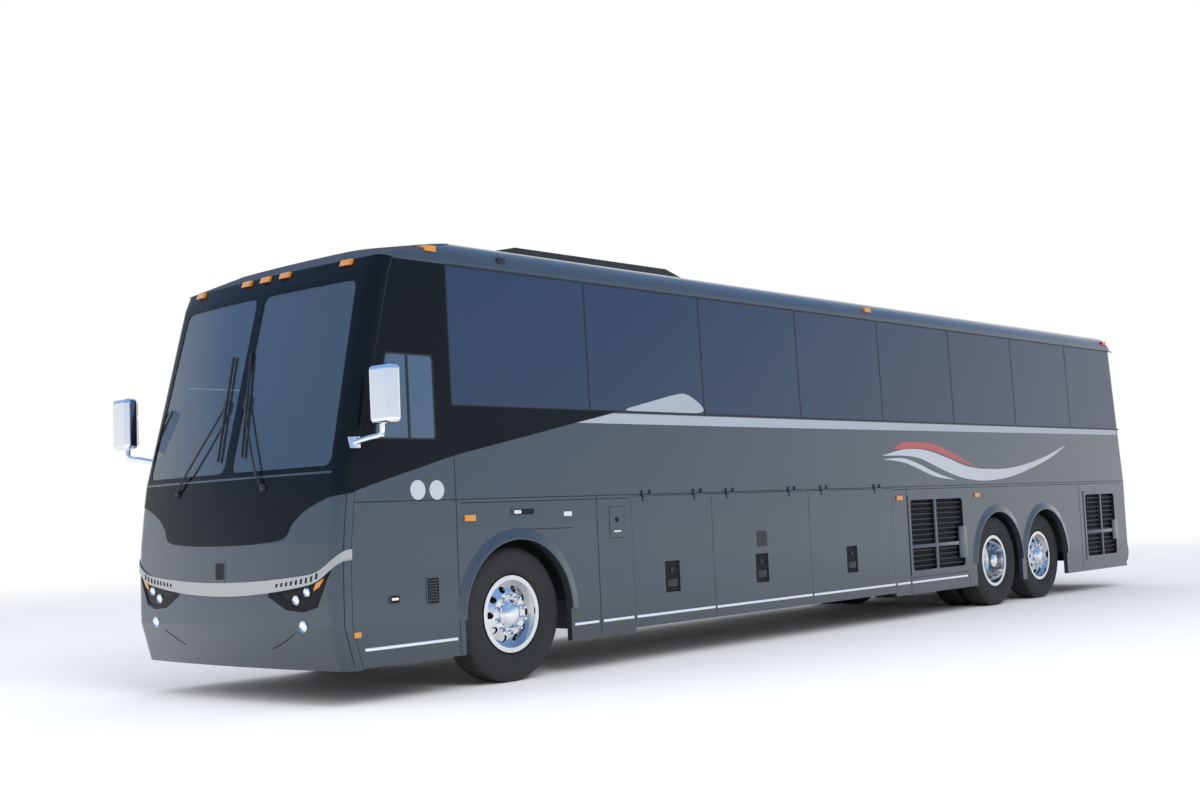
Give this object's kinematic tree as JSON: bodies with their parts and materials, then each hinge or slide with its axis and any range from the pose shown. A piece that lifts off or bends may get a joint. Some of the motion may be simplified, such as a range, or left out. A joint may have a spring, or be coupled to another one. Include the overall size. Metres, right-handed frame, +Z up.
{
  "type": "coach bus",
  "caption": "High-deck touring coach with a raked windscreen, dark flush glazing, under-floor luggage hold, twin rear axles and lifting hold doors.",
  "frame": {"origin": "on the ground under the middle of the coach", "axes": "+X forward, +Y to the coach's left, +Z up"},
  "size_m": [13.7447, 3.28, 3.6048],
  "materials": {
    "body_paint": "gloss metallic",
    "dark_glass": "gloss",
    "screen_glass": "gloss",
    "bright_trim": "polished",
    "lamp_clear": "gloss",
    "lamp_amber": "gloss",
    "lamp_red": "gloss",
    "black_plastic": "satin",
    "frame_black": "satin",
    "floor_grey": "matte",
    "seat_fabric": "woven",
    "engine_iron": "matte",
    "tyre_rubber": "matte",
    "polished_alloy": "polished"
  },
  "bodies": {
    "coach_body": {"arch_liners": "black_plastic", "cabin_floor": "floor_grey", "chassis_frame": "frame_black", "dashboard": "black_plastic", "engine": "engine_iron", "front_axle": "frame_black", "front_bumper": "body_paint", "front_cap": "body_paint", "headlamps": "lamp_clear", "luggage_hold": "floor_grey", "marker_lamps": "lamp_amber", "mirrors": "bright_trim", "nose_band": "bright_trim", "rear_axles": "frame_black", "rear_cap": "body_paint", "roof": "body_paint", "roof_unit": "black_plastic", "seats": "seat_fabric", "side_glass": "dark_glass", "side_wall_left": "body_paint", "side_wall_right": "body_paint", "tail_lamps": "lamp_red", "vent_grilles": "black_plastic", "windscreen": "screen_glass", "wipers": "black_plastic"},
    "knuckle_left": {"knuckle_left": "frame_black"},
    "front_wheel_left": {"front_tyre_left": "tyre_rubber", "front_rim_left": "polished_alloy"},
    "drive_wheel_left": {"drive_tyre_left": "tyre_rubber", "drive_rim_left": "polished_alloy"},
    "tag_wheel_left": {"tag_tyre_left": "tyre_rubber", "tag_rim_left": "polished_alloy"},
    "bay_door_left_1": {"bay_door_left_1": "body_paint"},
    "bay_door_left_2": {"bay_door_left_2": "body_paint"},
    "bay_door_left_3": {"bay_door_left_3": "body_paint"},
    "knuckle_right": {"knuckle_right": "frame_black"},
    "front_wheel_right": {"front_tyre_right": "tyre_rubber", "front_rim_right": "polished_alloy"},
    "drive_wheel_right": {"drive_tyre_right": "tyre_rubber", "drive_rim_right": "polished_alloy"},
    "tag_wheel_right": {"tag_tyre_right": "tyre_rubber", "tag_rim_right": "polished_alloy"},
    "bay_door_right_1": {"bay_door_right_1": "body_paint"},
    "bay_door_right_2": {"bay_door_right_2": "body_paint"},
    "bay_door_right_3": {"bay_door_right_3": "body_paint"},
    "entry_arm": {"entry_arm": "frame_black"},
    "entry_door": {"entry_door": "body_paint", "entry_door_glass": "dark_glass"},
    "engine_door": {"engine_door": "body_paint"}
  },
  "joints": [
    {"name": "steer_left", "type": "hinge", "parent": "coach_body", "child": "knuckle_left", "pos_m": [5.03, 1.016, 0.5], "axis": [0, 0, 1], "range_deg": [-50, 50]},
    {"name": "steer_right", "type": "hinge", "parent": "coach_body", "child": "knuckle_right", "pos_m": [5.03, -1.016, 0.5], "axis": [0, 0, 1], "range_deg": [-50, 50]},
    {"name": "front_spin_left", "type": "hinge", "parent": "knuckle_left", "child": "front_wheel_left", "pos_m": [5.03, 1.082, 0.522], "axis": [0, 1, 0], "continuous": true},
    {"name": "front_spin_right", "type": "hinge", "parent": "knuckle_right", "child": "front_wheel_right", "pos_m": [5.03, -1.082, 0.522], "axis": [0, 1, 0], "continuous": true},
    {"name": "drive_spin_left", "type": "hinge", "parent": "coach_body", "child": "drive_wheel_left", "pos_m": [-2.945, 0.9275, 0.522], "axis": [0, 1, 0], "continuous": true},
    {"name": "drive_spin_right", "type": "hinge", "parent": "coach_body", "child": "drive_wheel_right", "pos_m": [-2.945, -0.9275, 0.522], "axis": [0, 1, 0], "continuous": true},
    {"name": "tag_spin_left", "type": "hinge", "parent": "coach_body", "child": "tag_wheel_left", "pos_m": [-4.195, 1.07, 0.522], "axis": [0, 1, 0], "continuous": true},
    {"name": "tag_spin_right", "type": "hinge", "parent": "coach_body", "child": "tag_wheel_right", "pos_m": [-4.195, -1.07, 0.522], "axis": [0, 1, 0], "continuous": true},
    {"name": "entry_swing", "type": "hinge", "parent": "coach_body", "child": "entry_arm", "pos_m": [6.44, -1.205, 1.1], "axis": [0, 0, 1], "range_deg": [0, 90]},
    {"name": "entry_door_pivot", "type": "hinge", "parent": "entry_arm", "child": "entry_door", "pos_m": [5.78, -1.205, 1.1], "axis": [0, 0, 1], "range_deg": [-90, 0]},
    {"name": "bay_lift_left_1", "type": "hinge", "parent": "coach_body", "child": "bay_door_left_1", "pos_m": [3.11, 1.307, 1.408], "axis": [1, 0, 0], "range_deg": [0, 88]},
    {"name": "bay_lift_left_2", "type": "hinge", "parent": "coach_body", "child": "bay_door_left_2", "pos_m": [1.7775, 1.307, 1.408], "axis": [1, 0, 0], "range_deg": [0, 88]},
    {"name": "bay_lift_left_3", "type": "hinge", "parent": "coach_body", "child": "bay_door_left_3", "pos_m": [0.2175, 1.307, 1.408], "axis": [1, 0, 0], "range_deg": [0, 88]},
    {"name": "bay_lift_right_1", "type": "hinge", "parent": "coach_body", "child": "bay_door_right_1", "pos_m": [3.11, -1.307, 1.408], "axis": [-1, 0, 0], "range_deg": [0, 88]},
    {"name": "bay_lift_right_2", "type": "hinge", "parent": "coach_body", "child": "bay_door_right_2", "pos_m": [1.7775, -1.307, 1.408], "axis": [-1, 0, 0], "range_deg": [0, 88]},
    {"name": "bay_lift_right_3", "type": "hinge", "parent": "coach_body", "child": "bay_door_right_3", "pos_m": [0.2175, -1.307, 1.408], "axis": [-1, 0, 0], "range_deg": [0, 88]},
    {"name": "engine_lift", "type": "hinge", "parent": "coach_body", "child": "engine_door", "pos_m": [-6.8625, 0, 1.334], "axis": [0, 1, 0], "range_deg": [0, 85]}
  ],
  "couplings": [
    {"joint": "steer_right", "follows": "steer_left", "ratio": 1},
    {"joint": "entry_door_pivot", "follows": "entry_swing", "ratio": -1}
  ]
}
